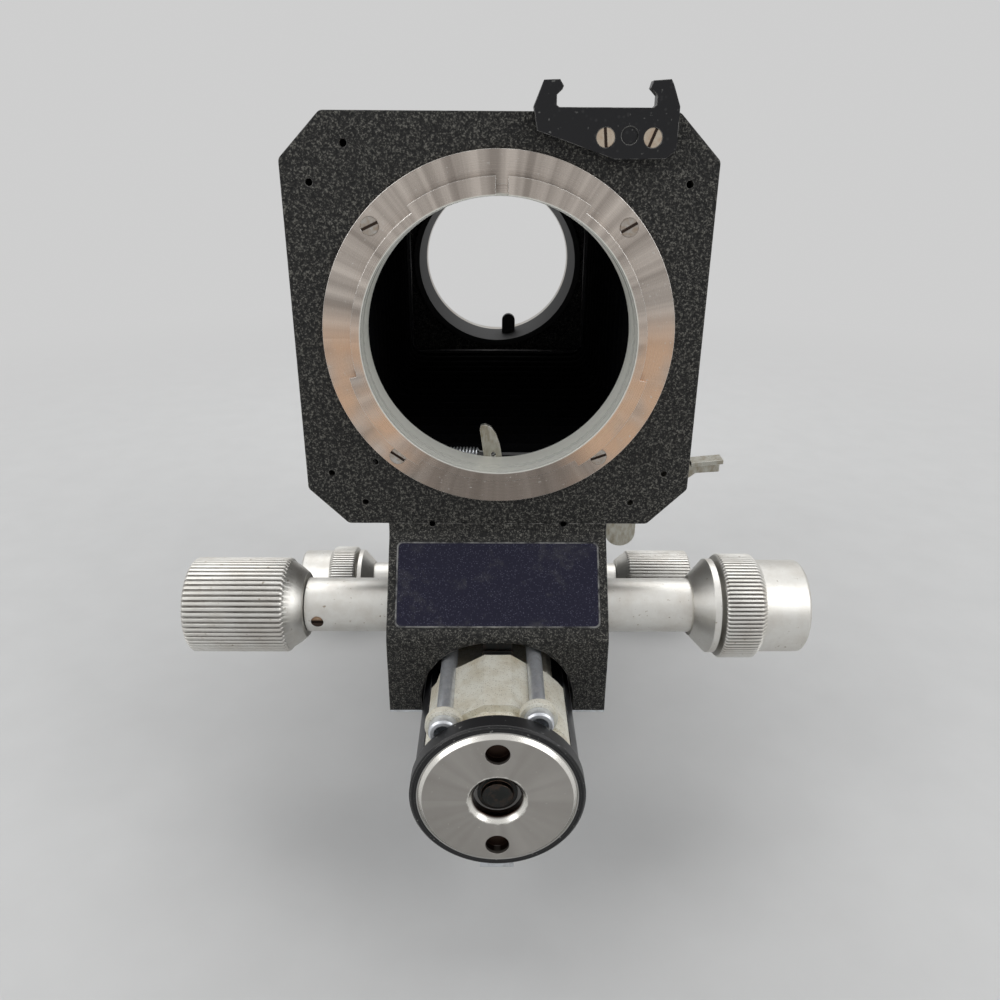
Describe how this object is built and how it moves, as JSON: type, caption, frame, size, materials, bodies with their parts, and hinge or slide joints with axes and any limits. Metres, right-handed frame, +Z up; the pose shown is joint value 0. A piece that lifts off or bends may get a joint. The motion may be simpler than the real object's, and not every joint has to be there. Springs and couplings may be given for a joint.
{
  "type": "macro bellows unit",
  "caption": "Macro bellows on a rail: a lens plate and a camera plate joined by pleated bellows, with rack and pinion focusing and a tripod carriage.",
  "frame": {"origin": "mouth of the tripod socket, on the flat base of the carriage", "axes": "+Z up, +Y along the rail from the lens side to the camera side, +X to the right seen from the lens side"},
  "size_m": [0.1198, 0.1537, 0.1462],
  "materials": {
    "bearing_brass": "satin",
    "bellows_cloth": "matte",
    "black_satin": "satin",
    "black_wrinkle": "wrinkle",
    "blackened_steel": "matte",
    "cast_core": "cast",
    "mount_steel": "turned",
    "nickel_screw": "satin",
    "polished_steel": "polished",
    "satin_chrome": "satin",
    "satin_disc": "satin"
  },
  "bodies": {
    "carriage": {"carriage_body": "black_wrinkle", "gib_right": "bearing_brass", "gib_left": "bearing_brass", "tripod_bush": "mount_steel", "carriage_drive_tube": "satin_chrome", "carriage_lock_tube": "satin_chrome", "carriage_lock_collar": "satin_chrome"},
    "carriage_drive": {"carriage_drive_knob": "satin_chrome", "carriage_drive_shaft": "polished_steel", "carriage_pinion": "polished_steel"},
    "carriage_lock": {"carriage_lock_knob": "satin_chrome", "carriage_lock_screw": "polished_steel"},
    "rail": {"rail_tube": "black_satin", "rail_core": "cast_core", "guide_rod_left": "polished_steel", "guide_rod_right": "polished_steel", "upper_rack": "polished_steel", "keel_rack": "polished_steel", "cap_ring": "black_satin", "cap_disc": "satin_disc", "cap_screw": "blackened_steel", "rear_cap": "black_satin", "camera_pedestal": "black_wrinkle", "camera_frame": "black_wrinkle", "camera_mount": "mount_steel", "coupling_lug": "blackened_steel", "rear_bellows_plate": "blackened_steel"},
    "breech_lock": {"breech_ring": "satin_chrome"},
    "lens_standard": {"front_bellows_plate": "blackened_steel", "bellows": "bellows_cloth", "lens_frame": "black_wrinkle", "standard_block": "black_wrinkle", "wear_strips": "polished_steel", "guide_shoe_left": "blackened_steel", "guide_shoe_right": "blackened_steel", "front_drive_tube": "satin_chrome", "front_lock_tube": "satin_chrome", "front_lock_collar": "satin_chrome", "tube_screw": "nickel_screw", "lens_flange": "mount_steel", "flange_screws": "nickel_screw", "accessory_clip": "black_satin", "clip_screws": "nickel_screw", "clip_rivet": "black_satin", "actuator_retainer": "blackened_steel", "spring_anchor": "blackened_steel"},
    "aperture_lever": {"actuator": "polished_steel", "return_spring": "polished_steel"},
    "front_drive": {"front_drive_knob": "satin_chrome", "front_drive_shaft": "polished_steel", "front_pinion": "polished_steel"},
    "front_lock": {"front_lock_knob": "satin_chrome", "front_lock_screw": "polished_steel"}
  },
  "joints": [
    {"name": "rail_slide", "type": "slide", "parent": "carriage", "child": "rail", "axis": [0, 1, 0], "range_m": [-0.005, 0.052]},
    {"name": "standard_slide", "type": "slide", "parent": "rail", "child": "lens_standard", "axis": [0, 1, 0], "range_m": [-0.0105, 0.061], "deforming": ["bellows"]},
    {"name": "carriage_drive_turn", "type": "hinge", "parent": "carriage", "child": "carriage_drive", "pos_m": [0, 0.028, 0.0114], "axis": [1, 0, 0], "range_deg": [-760, 90]},
    {"name": "carriage_lock_turn", "type": "hinge", "parent": "carriage", "child": "carriage_lock", "pos_m": [0, 0.028, 0.0114], "axis": [1, 0, 0], "range_deg": [0, 180]},
    {"name": "front_drive_turn", "type": "hinge", "parent": "lens_standard", "child": "front_drive", "pos_m": [0, -0.058, 0.0527], "axis": [1, 0, 0], "range_deg": [-890, 170]},
    {"name": "front_lock_turn", "type": "hinge", "parent": "lens_standard", "child": "front_lock", "pos_m": [0, -0.058, 0.0527], "axis": [1, 0, 0], "range_deg": [-180, 0]},
    {"name": "breech_turn", "type": "hinge", "parent": "rail", "child": "breech_lock", "pos_m": [0, 0.055, 0.1065], "axis": [0, 1, 0], "range_deg": [0, 60]},
    {"name": "aperture_turn", "type": "hinge", "parent": "lens_standard", "child": "aperture_lever", "pos_m": [0, -0.0575, 0.1065], "axis": [0, -1, 0], "range_deg": [0, 16], "stiffness_Nm_per_rad": 0.02, "springref_deg": -20.05, "deforming": ["return_spring"]}
  ],
  "couplings": [
    {"joint": "carriage_drive_turn", "follows": "rail_slide", "rad_per_m": -250},
    {"joint": "front_drive_turn", "follows": "standard_slide", "rad_per_m": -250}
  ]
}
